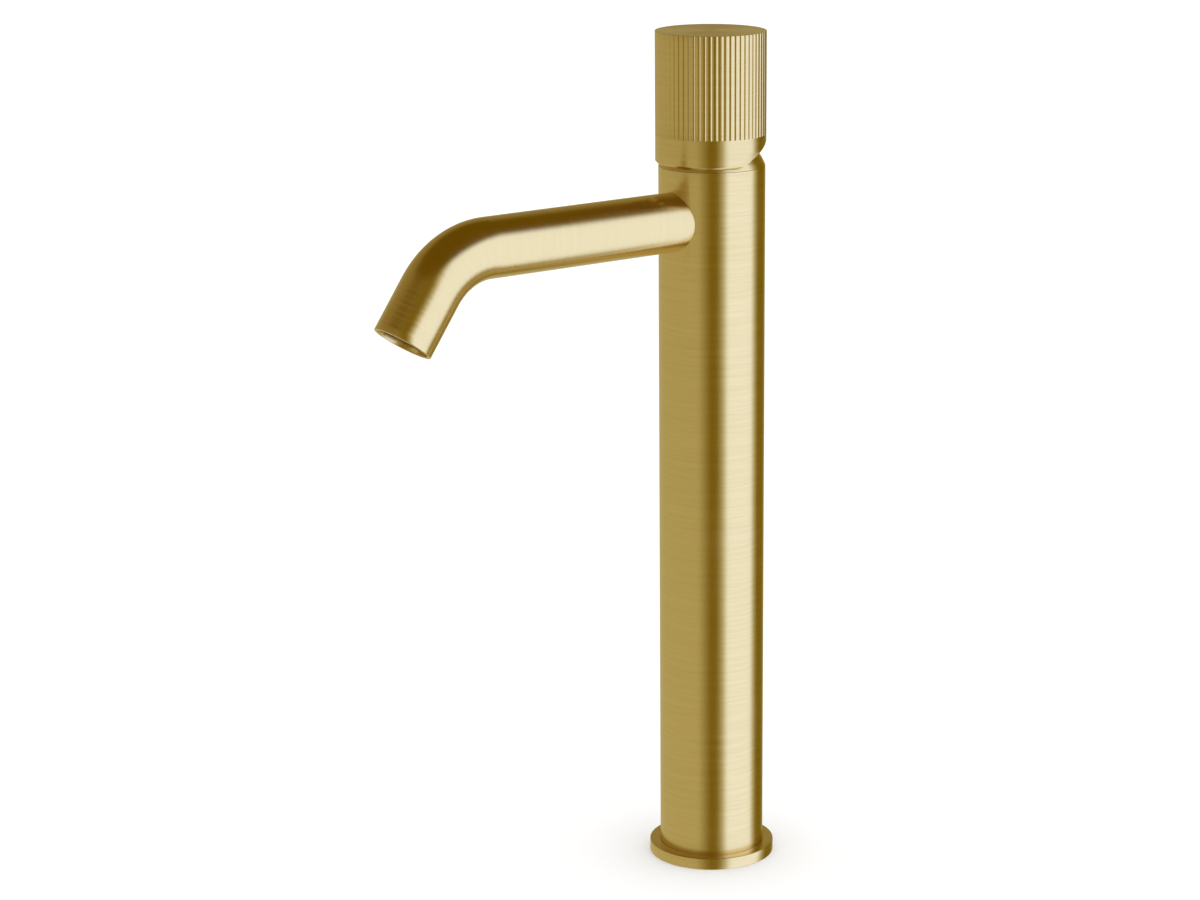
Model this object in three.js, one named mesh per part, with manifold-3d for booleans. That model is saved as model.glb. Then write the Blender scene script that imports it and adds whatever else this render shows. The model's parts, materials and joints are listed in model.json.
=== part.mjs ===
// Tall single-lever bathroom mixer: a tubular column, a bent spout and a fluted knob that
// tips to open the water and turns to set its temperature, with the valve works inside.
// Millimetres, +Z up, origin on the deck at the column's axis, spout towards -Y, hot on -X.

import * as THREE from 'three';
import { mergeVertices } from 'three/addons/utils/BufferGeometryUtils.js';
import Module from 'manifold-3d';

const wasm = await Module();
wasm.setup();

// ---------------------------------------------------------------- driving dimensions

const degree = Math.PI / 180;
const fit = 0.3; // clearance between pieces that slide into each other
const seat = 0.2; // gap between faces that bear on each other
const past = 1; // how far a cutter runs past the face it opens

const column = { radius: 22.5, wall: 2.5, height: 305, foot: 0.5 };
const flange = { rim: 4.6, thickness: 5, edge: 0.3 }; // rim: beyond the column
const gasket = { inset: 1.2, width: 2.2, thickness: 1.6 };

const spout = {
  radius: 12.5, wall: 1.5, below: 22, // below: axis under the column's top edge
  straight: 115, bendRadius: 33.4, bendAngle: 55 * degree, leg: 23.8, bendSteps: 9,
};
const aerator = {
  wall: 1.6, length: 8, recess: 3, lip: 0.8, lipHeight: 1, washer: 1.5,
  screen: 2, holeRadius: 0.9, rim: 2.1,
};

const dome = { swell: 1.65, wall: 2, margin: 5 * degree }; // swell: sphere's radius over the column's
const knob = {
  swell: 0.8, height: 55, wall: 2.5, roof: 3.5, forward: 0.6, // forward: axis ahead of the column's
  lift: 1.3, chamfer: 0.8, clearance: 0.25, // lift: lower edge above the dome's seam
};
const flutes = { count: 60, length: 43, width: 1.2, depth: 0.42, turn: 1.8 * degree };
const insert = { above: 28, holeRadius: 2.6 }; // above: over the stem's square head's start
const grub = { rise: 26, radius: 2.4, length: 10, plugLength: 3.6 };

const tiltLimit = 25 * degree;
const closingGap = 1.8; // knob's cut underside above the dome's seam at full tilt
const stopAngle = 45 * degree; // knob turns this far to either side

const stem = {
  radius: 3.4, arm: 8, tipRadius: 2.6, fingerRadius: 2, boss: 0.6, underTip: 0.5,
  head: 6.4, headRise: 3, headLength: 22, // headRise: square head's start above the knob's hollow
};
const pin = { radius: 1.5, length: 17 };
const rotor = {
  neck: 8.6, below: 5.2, shoulder: 1.8, above: 6.6, lug: 3,
  slotFront: 0.9, slotRear: 4.2, // room for the stem before and behind
};
const carrier = { radius: 8.2, floor: 5, slotHalf: 3.4 };
const disc = {
  movingRadius: 7.6, thickness: 4, roof: 2, pocketRadius: 3.6, pocketReach: 1.5,
};
const port = { inletX: 5, inletY: 3, inletRadius: 2.2, outletY: -5.6, outletRadius: 2.4 };
const cartridge = {
  radius: 12.5, wall: 1.3, lip: 2, flange: 2, flangeRim: 1.9, base: 3, under: 0.6, play: 0.4,
};
const peg = { x: 8.2, y: -5.2, radius: 1.2, length: 2 };
const limitRing = { inset: 0.7, width: 1.8, height: 1.8, tooth: 2.4, toothLead: 19 * degree };
const nut = { height: 3.8, notch: 3, notchDepth: 1.5 };
const valve = { rim: 2.5, shoulder: 2.4, underSeat: 16 };
const gallery = { radius: 2.3, inset: 3.6, cross: 9, plug: 3, frontPlug: 1 };
const portSeal = { width: 0.95, depth: 1.2, height: 1.6 };

const riser = { radius: 5, wall: 1, x: 8.5, y: 2, socket: 6.5, ringDrop: 2.8, feed: 2 };
const spacer = { height: 128, thickness: 4, notch: 8, notchFloor: -8 };
const basePlug = {
  height: 11.8, ledge: 8, land: 1.5, inletRadius: 4.7, studRadius: 4, studY: -12, studDepth: 9,
};
const clamp = { thickness: 2, screwRadius: 1.5, headRadius: 2.8, head: 1.6, screwY: 13, grip: 5 };
const footScrew = { radius: 1.5, height: 2.6, length: 5.2 };

const nipple = {
  radius: 7, bore: 4.5, engage: 2.5, ringIn: 1.6, // ringIn, ringOut: rubber rings from the ends
  standOff: 0.5, shoulderGap: 0.6, shoulder: 4, plugGap: 1.8, plugLength: 17, ringOut: 3,
  socketWall: 1.8,
};
const collar = { inset: 5.6, length: 14 };
const spoutScrew = { radius: 2, out: 10.5 };
const oring = { section: 0.72, groove: 1.9 }; // section: radius of the ring's round section

// ---------------------------------------------------------------- derived places

const columnBore = column.radius - column.wall;
const flangeRadius = column.radius + flange.rim;
const domeRadius = column.radius + dome.swell;
const knobRadius = column.radius + knob.swell;
const seamZ = column.height + seat;
const pivotZ = seamZ - Math.sqrt(domeRadius ** 2 - column.radius ** 2);
const knobBottom = seamZ + knob.lift;
const knobTop = knobBottom + knob.height;
const cutRise = seamZ + closingGap - pivotZ;
const cavityRadius = domeRadius + knob.clearance;
const openingAngle = tiltLimit + Math.asin(stem.radius / domeRadius) + dome.margin;
const spoutZ = column.height - spout.below;
const spoutBore = spout.radius - spout.wall;
const nippleShoulder = spoutBore - nipple.shoulderGap;
const nipplePlug = spoutBore - nipple.plugGap;

const tipZ = pivotZ - stem.arm;
const rotorBottom = pivotZ - rotor.below;
const carrierTop = rotorBottom - 2 * seat;
const slotFloor = tipZ - stem.tipRadius - stem.underTip;
const carrierBottom = slotFloor - carrier.floor;
const movingTop = carrierBottom - seat;
const fixedTop = movingTop - disc.thickness - seat;
const baseTop = fixedTop - disc.thickness - seat;
const baseBottom = baseTop - cartridge.base;
const seatZ = baseBottom - cartridge.under;
const slideTravel = stem.arm * tiltLimit;
const cartridgeBore = cartridge.radius - cartridge.wall;
const discRadius = cartridgeBore - cartridge.play; // of the fixed disc and of the rotor's drum
const limitOuter = cartridge.radius - limitRing.inset;
const limitInner = limitOuter - limitRing.width;
const cartridgeFlange = cartridge.radius + cartridge.flangeRim;
const rotorShoulder = pivotZ + rotor.shoulder;
const housingTop = rotorShoulder + fit + cartridge.lip;
const housingBottom = baseTop + seat;

const valveRadius = columnBore - fit;
const nippleStart = valveRadius - nipple.engage;
const galleryY = gallery.inset - valveRadius;
const valveBottom = seatZ - valve.underSeat;
const valveShoulder = pivotZ - valve.shoulder;
const housingFlangeTop = valveShoulder + seat + cartridge.flange;
const nutTop = housingFlangeTop + seat + nut.height;
const riserTop = valveBottom + riser.socket;
const riserRingRoom = riser.radius + 2 * oring.section + 2 * seat;
const shoulderY = column.radius + nipple.standOff;
const nippleEnd = shoulderY + nipple.shoulder + nipple.plugLength;
const ringDeep = 2 * oring.section + seat; // depth of a rubber ring's groove
const plugGroove = basePlug.height - oring.groove / 2; // middle of the rings on the base plug

const headStart = pivotZ + cavityRadius + stem.headRise;
const headTop = headStart + stem.headLength;

// ---------------------------------------------------------------- shapes and booleans

/** Turns a closed three.js geometry into a solid that can be cut and joined. */
function solid(geometry) {
  const bare = geometry.clone();
  bare.deleteAttribute('normal');
  bare.deleteAttribute('uv');
  const merged = mergeVertices(bare);
  const corners = merged.index.array;
  const kept = [];
  for (let i = 0; i < corners.length; i += 3) {
    const [a, b, c] = corners.slice(i, i + 3);
    if (a !== b && b !== c && c !== a) kept.push(a, b, c);
  }
  const vertProperties = merged.attributes.position.array;
  const triVerts = Uint32Array.from(kept);
  return new wasm.Manifold(new wasm.Mesh({ numProp: 3, vertProperties, triVerts }));
}

/** Gives a solid back as a three.js geometry. */
function geometryOf(body) {
  const mesh = body.getMesh();
  const geometry = new THREE.BufferGeometry();
  geometry.setAttribute('position', new THREE.BufferAttribute(mesh.vertProperties, 3));
  geometry.setIndex(new THREE.BufferAttribute(mesh.triVerts, 1));
  geometry.computeVertexNormals();
  return geometry;
}

const cut = (base, ...tools) =>
  geometryOf(tools.reduce((body, tool) => body.subtract(solid(tool)), solid(base)));
const join = (base, ...more) =>
  geometryOf(more.reduce((body, part) => body.add(solid(part)), solid(base)));

/** Turns a closed outline of [radius, height] points about Z. */
function turned(outline, segments = 24) {
  const points = outline.map(([radius, height]) => new THREE.Vector2(radius, height));
  if (THREE.ShapeUtils.area(points) < 0) points.reverse();
  const geometry = new THREE.LatheGeometry([...points, points[0]], segments);
  return geometry.rotateX(Math.PI / 2);
}

/** A ring or tube about Z between two heights. */
const ring = (inner, outer, bottom, top, segments) =>
  turned([[inner, bottom], [outer, bottom], [outer, top], [inner, top]], segments);

/** A rod along Z, standing on a height. */
function rod(radius, bottom, top, x = 0, y = 0, segments = 14) {
  const geometry = new THREE.CylinderGeometry(radius, radius, top - bottom, segments);
  return geometry.rotateX(Math.PI / 2).translate(x, y, (top + bottom) / 2);
}

/** A rod along Y from one y to another. */
function rodY(radius, from, to, z, segments = 16) {
  const geometry = new THREE.CylinderGeometry(radius, radius, Math.abs(to - from), segments);
  return geometry.translate(0, (from + to) / 2, z);
}

/** A rod along X from one x to another. */
function rodX(radius, from, to, z, segments = 12) {
  const geometry = new THREE.CylinderGeometry(radius, radius, Math.abs(to - from), segments);
  return geometry.rotateZ(Math.PI / 2).translate((from + to) / 2, 0, z);
}

/** A box from its lowest to its highest corner. */
function block([x0, y0, z0], [x1, y1, z1]) {
  const geometry = new THREE.BoxGeometry(x1 - x0, y1 - y0, z1 - z0);
  return geometry.translate((x0 + x1) / 2, (y0 + y1) / 2, (z0 + z1) / 2);
}

/** A rubber ring of round section about Z. */
function rubberRing(radius, height, segments) {
  const corners = 5;
  const outline = Array.from({ length: corners }, (_, corner) => {
    const angle = (corner / corners) * 2 * Math.PI;
    return [radius + oring.section * Math.cos(angle), height + oring.section * Math.sin(angle)];
  });
  return turned(outline, segments);
}

/** Points of a sphere's arc about the pivot, by angle from straight up. */
function arc(radius, from, to, steps = 5) {
  return Array.from({ length: steps + 1 }, (_, step) => {
    const angle = from + ((to - from) * step) / steps;
    return [radius * Math.sin(angle), pivotZ + radius * Math.cos(angle)];
  });
}

/** The half space under the knob's slanted rear underside, raised by a gap. */
function underCut(gap = 0) {
  const half = 2 * knobRadius;
  const slab = block([-half, -half, cutRise + gap - half], [half, half, cutRise + gap]);
  return slab.rotateX(tiltLimit).translate(0, 0, pivotZ);
}

/** The ball of space that the knob keeps free around the dome. */
const domeSpace = (gap = 0) =>
  new THREE.SphereGeometry(cavityRadius + gap, 36, 24).translate(0, 0, pivotZ);

// ---------------------------------------------------------------- scene

const finish = (color, roughness, metalness) =>
  new THREE.MeshStandardMaterial({ color, roughness, metalness });
const brushedBrass = finish(0xb89c5c, 0.35, 1);
const rawBrass = finish(0xc4a052, 0.45, 1);
const copper = finish(0xb8744a, 0.4, 1);
const stainless = finish(0xc0c2c4, 0.3, 1);
const rubber = finish(0x1c1c1c, 0.85, 0);
const whitePlastic = finish(0xe4e2da, 0.5, 0);
const greyPlastic = finish(0x6a6d70, 0.55, 0);
const redPlastic = finish(0xb03528, 0.5, 0);
const ceramic = finish(0xf2efe6, 0.2, 0);

const mixer = new THREE.Group();

/** Adds one named piece to the mixer or to a group of it. */
function add(name, geometry, material, parent = mixer) {
  const mesh = new THREE.Mesh(geometry, material.clone());
  mesh.name = name;
  parent.add(mesh);
  return mesh;
}

const sides = [['hot', -1], ['cold', 1]];

// ---------------------------------------------------------------- column and foot

function addFoot() {
  const reach = column.radius + past;
  const screwHoles = rodX(footScrew.radius + fit, -reach, reach, footScrew.height);
  const spoutHole = rodY(nipple.radius + fit, -reach, 0, spoutZ);
  const tube = ring(columnBore, column.radius, column.foot, column.height, 48);
  add('body_column', cut(tube, screwHoles, spoutHole), brushedBrass);

  const bore = column.radius + fit / 2;
  const grooveOut = flangeRadius - gasket.inset;
  const grooveIn = grooveOut - gasket.width;
  const grooveTop = gasket.thickness + seat;
  add('base_flange', turned([
    [bore, 0], [grooveIn, 0], [grooveIn, grooveTop], [grooveOut, grooveTop], [grooveOut, 0],
    [flangeRadius, 0], [flangeRadius, flange.thickness - flange.edge],
    [flangeRadius - flange.edge, flange.thickness], [bore, flange.thickness],
  ], 40), brushedBrass);
  add('base_gasket', ring(grooveIn + seat, grooveOut - seat, 0, gasket.thickness, 32), rubber);
}

function addBasePlug() {
  const radius = columnBore - fit;
  const top = basePlug.height;
  const stepRadius = radius - ringDeep;
  const ringFloor = top - oring.groove;
  const screwHole = footScrew.radius + fit;
  let plug = cut(
    turned([
      [0, 0], [radius, 0], [radius, ringFloor], [stepRadius, ringFloor], [stepRadius, top], [0, top],
    ], 28),
    rod(basePlug.studRadius, -past, basePlug.studDepth, 0, basePlug.studY),
    rod(clamp.screwRadius + seat, top - clamp.grip - seat, top + past, 0, clamp.screwY, 12),
    rodX(screwHole, -radius - past, -radius + footScrew.length, footScrew.height),
    rodX(screwHole, radius - footScrew.length, radius + past, footScrew.height),
  );
  for (const [, side] of sides) {
    const x = side * riser.x;
    plug = cut(plug,
      rod(basePlug.inletRadius, -past, basePlug.ledge - basePlug.land, x, riser.y),
      rod(riser.radius - riser.wall, past, top + past, x, riser.y),
      rod(riser.radius + seat, basePlug.ledge, top + past, x, riser.y),
      rod(riserRingRoom, ringFloor, top + past, x, riser.y, 16));
  }
  add('base_plug', plug, rawBrass);
  add('base_plug_oring', rubberRing(stepRadius + oring.section + seat / 2, plugGroove, 28), rubber);

  const outer = column.radius - fit;
  for (const [name, side] of [['left', -1], ['right', 1]]) {
    const ends = [side * (outer - footScrew.length), side * outer];
    const screw = rodX(footScrew.radius, Math.min(...ends), Math.max(...ends), footScrew.height);
    add(`${name}_foot_screw`, screw, stainless);
  }
}

/** The plate that traps the rubber rings on the base plug, and its screw. */
function addClampPlate() {
  const bottom = basePlug.height + seat;
  const top = bottom + clamp.thickness;
  const holes = sides.map(([, side]) =>
    rod(riser.radius + seat, bottom - past, top + past, side * riser.x, riser.y, 16));
  add('ring_clamp_plate', cut(rod(columnBore - fit, bottom, top, 0, 0, 28), ...holes,
    rod(clamp.screwRadius + seat, bottom - past, top + past, 0, clamp.screwY, 12)), stainless);

  const headBottom = top + seat;
  const headTopZ = headBottom + clamp.head;
  add('clamp_screw', turned([
    [0, basePlug.height - clamp.grip], [clamp.screwRadius, basePlug.height - clamp.grip],
    [clamp.screwRadius, headBottom], [clamp.headRadius, headBottom], [clamp.headRadius, headTopZ],
    [0, headTopZ],
  ], 12).translate(0, clamp.screwY, 0), stainless);
}

// ---------------------------------------------------------------- risers

/** The groove around a riser for its upper rubber ring, cut in the valve body. */
function riserGroove(side) {
  const middle = riserTop - riser.ringDrop;
  const [bottom, top] = [middle - oring.groove / 2, middle + oring.groove / 2];
  return ring(riser.radius - past, riserRingRoom, bottom, top, 16).translate(side * riser.x, riser.y, 0);
}

function addRisers() {
  const bottom = basePlug.ledge + seat;
  const spacerHoles = [];
  for (const [name, side] of sides) {
    const x = side * riser.x;
    const tube = ring(riser.radius - riser.wall, riser.radius, bottom, riserTop, 16);
    add(`${name}_riser_tube`, tube.translate(x, riser.y, 0), copper);
    for (const [level, height] of [['lower', plugGroove], ['upper', riserTop - riser.ringDrop]]) {
      const seal = rubberRing(riser.radius + oring.section + seat, height, 16);
      add(`${name}_riser_${level}_oring`, seal.translate(x, riser.y, 0), rubber);
    }
    spacerHoles.push(rod(riser.radius + seat, 0, knobTop, x, riser.y));
  }
  const plate = rod(columnBore - fit, spacer.height, spacer.height + spacer.thickness, 0, 0, 32);
  const notch = block([-spacer.notch / 2, -column.radius, 0],
    [spacer.notch / 2, spacer.notchFloor, knobTop]);
  add('riser_spacer', cut(plate, ...spacerHoles, notch), greyPlastic);
}

// ---------------------------------------------------------------- valve body

/** The three waterways of the cartridge, drilled straight between two heights. */
function ports(bottom, top, grow = 0) {
  return [
    ...sides.map(([, side]) => rod(port.inletRadius + grow, bottom, top, side * port.inletX, port.inletY)),
    rod(port.outletRadius + grow, bottom, top, 0, port.outletY),
  ];
}

function addValveBody() {
  const crossZ = seatZ - gallery.cross;
  const shell = turned([
    [0, valveBottom], [valveRadius, valveBottom], [valveRadius, nutTop], [valveRadius - valve.rim, nutTop],
    [valveRadius - valve.rim, valveShoulder], [cartridge.radius + seat, valveShoulder],
    [cartridge.radius + seat, seatZ], [0, seatZ],
  ], 28);
  const drilled = [
    ...ports(crossZ, seatZ + past),
    ...ports(seatZ - portSeal.depth, seatZ + past, portSeal.width + fit),
    rodY(gallery.radius, -valveRadius - past, port.outletY, crossZ),
    rod(gallery.radius, valveBottom - past, spoutZ, 0, galleryY, 16),
    rodY(nipple.radius + seat, -valveRadius - past, -cartridge.radius - nipple.socketWall, spoutZ),
    ...[-1, 1].map((side) =>
      rod(peg.radius + fit, seatZ - peg.length, seatZ + past, side * peg.x, peg.y, 12)),
  ];
  for (const [, side] of sides) {
    const x = side * riser.x;
    drilled.push(rod(riser.radius + seat, valveBottom - past, riserTop + seat, x, riser.y),
      rod(riser.radius - riser.wall, valveBottom, crossZ + riser.feed, x, riser.y), riserGroove(side));
  }
  add('valve_body', cut(shell, ...drilled), rawBrass);

  const galleryPlug = gallery.radius - seat;
  const crossStart = -valveRadius + seat;
  const plugTop = valveBottom + gallery.plug;
  add('gallery_lower_plug', rod(galleryPlug, valveBottom + seat, plugTop, 0, galleryY, 12), rawBrass);
  const frontPlug = rodY(galleryPlug, crossStart, crossStart + gallery.frontPlug, crossZ, 12);
  add('gallery_front_plug', frontPlug, rawBrass);
}

// ---------------------------------------------------------------- spout

/** The spout's centre line: a straight run, a round bend and the down leg. */
class SpoutLine extends THREE.Curve {
  constructor(start, beyond = 0) {
    super();
    this.start = start;
    this.leg = spout.leg + beyond;
  }

  /** One step for the straight run, bendSteps for the bend and one for the leg. */
  place(t) {
    const step = t * (spout.bendSteps + 2);
    return {
      straight: Math.min(step, 1),
      turn: THREE.MathUtils.clamp((step - 1) / spout.bendSteps, 0, 1) * spout.bendAngle,
      leg: Math.max(step - spout.bendSteps - 1, 0) * this.leg,
    };
  }

  getPoint(t, target = new THREE.Vector3()) {
    const { straight, turn, leg } = this.place(t);
    const run = THREE.MathUtils.lerp(this.start, spout.straight, straight);
    const forward = run + spout.bendRadius * Math.sin(turn) + leg * Math.cos(turn);
    const drop = spout.bendRadius * (1 - Math.cos(turn)) + leg * Math.sin(turn);
    return target.set(0, -forward, spoutZ - drop);
  }

  getTangent(t, target = new THREE.Vector3()) {
    const { turn } = this.place(t);
    return target.set(0, -Math.cos(turn), -Math.sin(turn));
  }

  getPointAt(u, target) {
    return this.getPoint(u, target);
  }

  getTangentAt(u, target) {
    return this.getTangent(u, target);
  }
}

/** A round bar along the spout's line, from a distance out to beyond its mouth. */
function bentRod(radius, start, beyond) {
  const circle = new THREE.Shape().absarc(0, 0, radius, 0, 2 * Math.PI);
  const extrudePath = new SpoutLine(start, beyond);
  const steps = spout.bendSteps + 2;
  return new THREE.ExtrudeGeometry(circle, { steps, curveSegments: 16, extrudePath });
}

function addSpout() {
  const saddle = rod(column.radius + seat, 0, column.height, 0, 0, 48);
  const screwY = -column.radius - spoutScrew.out;
  const screwHole = rod(spoutScrew.radius + fit, spoutZ - spout.radius - past, spoutZ, 0, screwY);
  const start = column.radius / 2; // inside the saddle, which trims it
  const tube = cut(bentRod(spout.radius, start, 0), bentRod(spoutBore, start - past, past));
  add('spout_tube', cut(tube, saddle, screwHole), brushedBrass);

  const plugStart = shoulderY + nipple.shoulder;
  const bodyGroove = nippleStart + nipple.ringIn;
  const spoutGroove = nippleEnd - nipple.ringOut;
  const outline = turned([
    [nipple.bore, nippleStart], [nipple.radius, nippleStart], [nipple.radius, shoulderY],
    [nippleShoulder, shoulderY], [nippleShoulder, plugStart], [nipplePlug, plugStart],
    [nipplePlug, nippleEnd], [nipple.bore, nippleEnd],
  ], 20);
  const grooves = [[nipple.radius, bodyGroove], [nipplePlug, spoutGroove]].map(([radius, place]) =>
    ring(radius - ringDeep, radius + past, place - oring.groove / 2, place + oring.groove / 2, 20));
  const outwards = (geometry) => geometry.rotateX(Math.PI / 2).translate(0, 0, spoutZ);
  add('spout_nipple', outwards(cut(outline, ...grooves)), rawBrass);
  const grooveRing = (radius, place) =>
    outwards(rubberRing(radius - ringDeep + oring.section + seat / 2, place, 20));
  add('nipple_inner_oring', grooveRing(nipple.radius, bodyGroove), rubber);
  add('nipple_outer_oring', grooveRing(nipplePlug, spoutGroove), rubber);

  const collarStart = column.radius + collar.inset;
  const collarEnd = collarStart + collar.length;
  const sleeve = ring(nipplePlug + fit, spoutBore - fit, collarStart, collarEnd, 24);
  add('spout_inner_collar', cut(outwards(sleeve), screwHole), rawBrass);
  add('spout_grub_screw', rod(spoutScrew.radius, spoutZ - spout.radius + fit,
    spoutZ - nipplePlug - seat, 0, screwY, 12), stainless);
}

function addAerator() {
  const mouth = new SpoutLine(0).getPoint(1);
  const tip = new THREE.Group();
  tip.position.copy(mouth);
  tip.rotation.x = spout.bendAngle - Math.PI / 2;
  mixer.add(tip);

  const outer = spoutBore - fit;
  const inner = outer - aerator.wall;
  const bottom = aerator.recess;
  const top = bottom + aerator.length;
  const lip = inner - aerator.lip;
  const lipTop = bottom + aerator.lipHeight;
  add('aerator_housing', turned([
    [lip, bottom], [outer, bottom], [outer, top], [inner, top], [inner, lipTop], [lip, lipTop],
  ], 32), greyPlastic, tip);

  const screenBottom = lipTop + seat;
  const screenTop = screenBottom + aerator.screen;
  const screenRadius = inner - fit;
  const pitch = (screenRadius - aerator.rim - aerator.holeRadius) / 2;
  const hole = (x, y) => rod(aerator.holeRadius, 0, screenTop + past, x, y, 6);
  const holes = [hole(0, 0)];
  for (const [count, radius] of [[6, pitch], [12, 2 * pitch]]) {
    for (let i = 0; i < count; i += 1) {
      const angle = (i / count) * 2 * Math.PI;
      holes.push(hole(radius * Math.cos(angle), radius * Math.sin(angle)));
    }
  }
  const screen = rod(screenRadius, screenBottom, screenTop, 0, 0, 28);
  add('aerator_screen', cut(screen, ...holes), stainless, tip);
  add('aerator_washer', ring(inner, outer, top + fit, top + fit + aerator.washer, 28), rubber, tip);
}

// ---------------------------------------------------------------- cartridge

function addCartridgeShell() {
  add('cartridge_housing', turned([
    [cartridgeBore, housingBottom], [cartridge.radius, housingBottom],
    [cartridge.radius, valveShoulder + seat],
    [cartridgeFlange, valveShoulder + seat], [cartridgeFlange, housingFlangeTop],
    [cartridge.radius, housingFlangeTop], [cartridge.radius, housingTop], [rotor.neck + fit, housingTop],
    [rotor.neck + fit, housingTop - cartridge.lip], [cartridgeBore, housingTop - cartridge.lip],
  ], 28), whitePlastic);

  const pegs = [-1, 1].map((side) =>
    rod(peg.radius, seatZ - peg.length + fit, baseBottom + past, side * peg.x, peg.y, 12));
  const plate = join(rod(cartridge.radius - seat / 2, baseBottom, baseTop, 0, 0, 28), ...pegs);
  add('cartridge_base', cut(plate, ...ports(baseBottom - past, baseTop + past)), whitePlastic);

  const sealTop = baseBottom - seat / 2;
  const sealRing = (radius, x, y) =>
    ring(radius + fit, radius + portSeal.width, sealTop - portSeal.height, sealTop, 14).translate(x, y, 0);
  for (const [name, side] of sides) {
    add(`${name}_inlet_seal`, sealRing(port.inletRadius, side * port.inletX, port.inletY), rubber);
  }
  add('outlet_seal', sealRing(port.outletRadius, 0, port.outletY), rubber);

  const ringBottom = housingTop + seat;
  const hoop = ring(limitInner, limitOuter, ringBottom, ringBottom + limitRing.height, 28);
  const teeth = [-1, 1].map((side) => {
    const tooth = block([-limitRing.tooth / 2, rotor.neck + fit, ringBottom],
      [limitRing.tooth / 2, limitInner + fit, ringBottom + limitRing.height]);
    return tooth.rotateZ(side * (stopAngle + limitRing.toothLead));
  });
  add('hot_limit_ring', join(hoop, ...teeth), redPlastic);

  const nutOuter = valveRadius - valve.rim - fit;
  const notches = [0, 1, 2, 3].map((quarter) =>
    block([-nut.notch / 2, cartridge.radius, nutTop - nut.notchDepth],
      [nut.notch / 2, nutOuter + past, nutTop + past]).rotateZ((quarter * Math.PI) / 2));
  const nutRing = ring(cartridge.radius + 2 * seat, nutOuter, nutTop - nut.height, nutTop, 28);
  add('cartridge_nut', cut(nutRing, ...notches), rawBrass);
}

function addDiscs() {
  const fixed = rod(discRadius, fixedTop - disc.thickness, fixedTop, 0, 0, 28);
  add('fixed_disc', cut(fixed, ...ports(0, fixedTop + past)), ceramic);

  const restY = slideTravel / 2;
  const moving = rod(disc.movingRadius, movingTop - disc.thickness, movingTop, 0, restY, 28);
  const pockets = [-disc.pocketReach, disc.pocketReach].map((reach) =>
    rod(disc.pocketRadius, 0, movingTop - disc.roof, 0, restY + reach, 16));
  add('moving_disc', cut(moving, ...pockets), ceramic);

  const puck = rod(carrier.radius, carrierBottom, carrierTop, 0, restY, 28);
  const socket = block([-stem.tipRadius - fit, -carrier.slotHalf, slotFloor],
    [stem.tipRadius + fit, carrier.slotHalf, carrierTop + past]);
  add('disc_carrier', cut(puck, socket), greyPlastic);
}

function addRotor() {
  const neckTop = pivotZ + rotor.above;
  const slotX = stem.radius + fit;
  const front = stem.radius + rotor.slotFront;
  const rear = stem.radius + rotor.slotRear;
  const drum = turned([
    [0, rotorBottom], [discRadius, rotorBottom], [discRadius, rotorShoulder],
    [rotor.neck, rotorShoulder], [rotor.neck, neckTop], [0, neckTop],
  ], 32);
  const lug = block([-rotor.lug / 2, rotor.neck - past, housingTop + fit],
    [rotor.lug / 2, limitInner - fit, neckTop]);
  add('cartridge_rotor', cut(join(drum, lug),
    block([-slotX, -front, pivotZ], [slotX, rear, neckTop + past]),
    block([-slotX, -rear, rotorBottom - past], [slotX, front, pivotZ + past]),
    rodX(pin.radius + seat, -discRadius - past, discRadius + past, pivotZ)), whitePlastic);
  add('pivot_pin', rodX(pin.radius, -pin.length / 2, pin.length / 2, pivotZ), stainless);
}

// ---------------------------------------------------------------- lever

function addStem() {
  const half = stem.head / 2;
  const shaft = join(rodX(stem.radius + stem.boss, -stem.radius, stem.radius, pivotZ, 16),
    rod(stem.radius, pivotZ, headStart, 0, 0, 16),
    block([-half, -half, headStart - past], [half, half, headTop]),
    rod(stem.fingerRadius, tipZ, pivotZ, 0, 0, 12),
    new THREE.SphereGeometry(stem.tipRadius, 12, 7).translate(0, 0, tipZ));
  const pinHole = rodX(pin.radius + seat, -stem.radius - past, stem.radius + past, pivotZ);
  add('lever_stem', cut(shaft, pinHole), rawBrass);
}

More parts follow.
